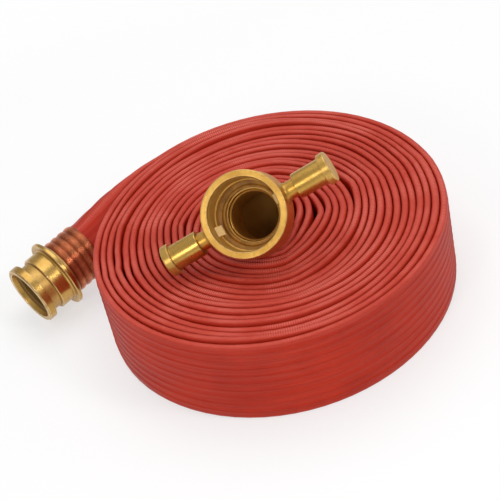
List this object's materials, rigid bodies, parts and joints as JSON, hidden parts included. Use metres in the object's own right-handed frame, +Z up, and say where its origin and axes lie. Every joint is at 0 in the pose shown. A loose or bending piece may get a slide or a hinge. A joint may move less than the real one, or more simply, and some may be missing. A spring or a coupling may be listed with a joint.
{
  "type": "rolled fire hose",
  "caption": "Red flat-lying fire hose rolled on its edge, with a brass flanged male coupling on the outer end and a brass female coupling with spring-loaded pull lugs on the inner end.",
  "frame": {"origin": "the roll's axis at floor level", "axes": "+Z up along the roll's axis, +X to the right with the male coupling at the left, +Y to the back, away from the female coupling's mouth"},
  "size_m": [0.5026, 0.3999, 0.2127],
  "materials": {
    "jacket": "matte",
    "lining": "matte",
    "male_brass": "polished",
    "female_brass": "satin",
    "lug_brass": "polished",
    "tooth_brass": "satin",
    "binding_copper": "satin",
    "seal_rubber": "matte",
    "spring_steel": "satin",
    "pin_steel": "satin"
  },
  "bodies": {
    "root": {"hose_roll": "jacket", "hose_outer_end": "jacket", "hose_inner_end": "jacket", "lining_roll": "lining", "lining_outer_end": "lining", "lining_inner_end": "lining", "male_coupling_body": "male_brass", "male_binding_wire": "binding_copper", "female_coupling_body": "female_brass", "mouth_seal": "seal_rubber", "female_binding_wire": "binding_copper", "left_spring": "spring_steel", "left_spring_cap": "lug_brass", "right_spring": "spring_steel", "right_spring_cap": "lug_brass"},
    "left_lug": {"left_plunger": "tooth_brass", "left_pull_knob": "lug_brass", "left_knob_pin": "pin_steel"},
    "right_lug": {"right_plunger": "tooth_brass", "right_pull_knob": "lug_brass", "right_knob_pin": "pin_steel"}
  },
  "joints": [
    {"name": "left_lug_pull", "type": "slide", "parent": "root", "child": "left_lug", "axis": [-0.932, -0.0042, -0.3624], "range_m": [0, 0.0065], "stiffness_N_per_m": 2500, "springref_m": -0.004, "deforming": ["left_spring"]},
    {"name": "right_lug_pull", "type": "slide", "parent": "root", "child": "right_lug", "axis": [0.932, 0.0042, 0.3624], "range_m": [0, 0.0065], "stiffness_N_per_m": 2500, "springref_m": -0.004, "deforming": ["right_spring"]}
  ]
}
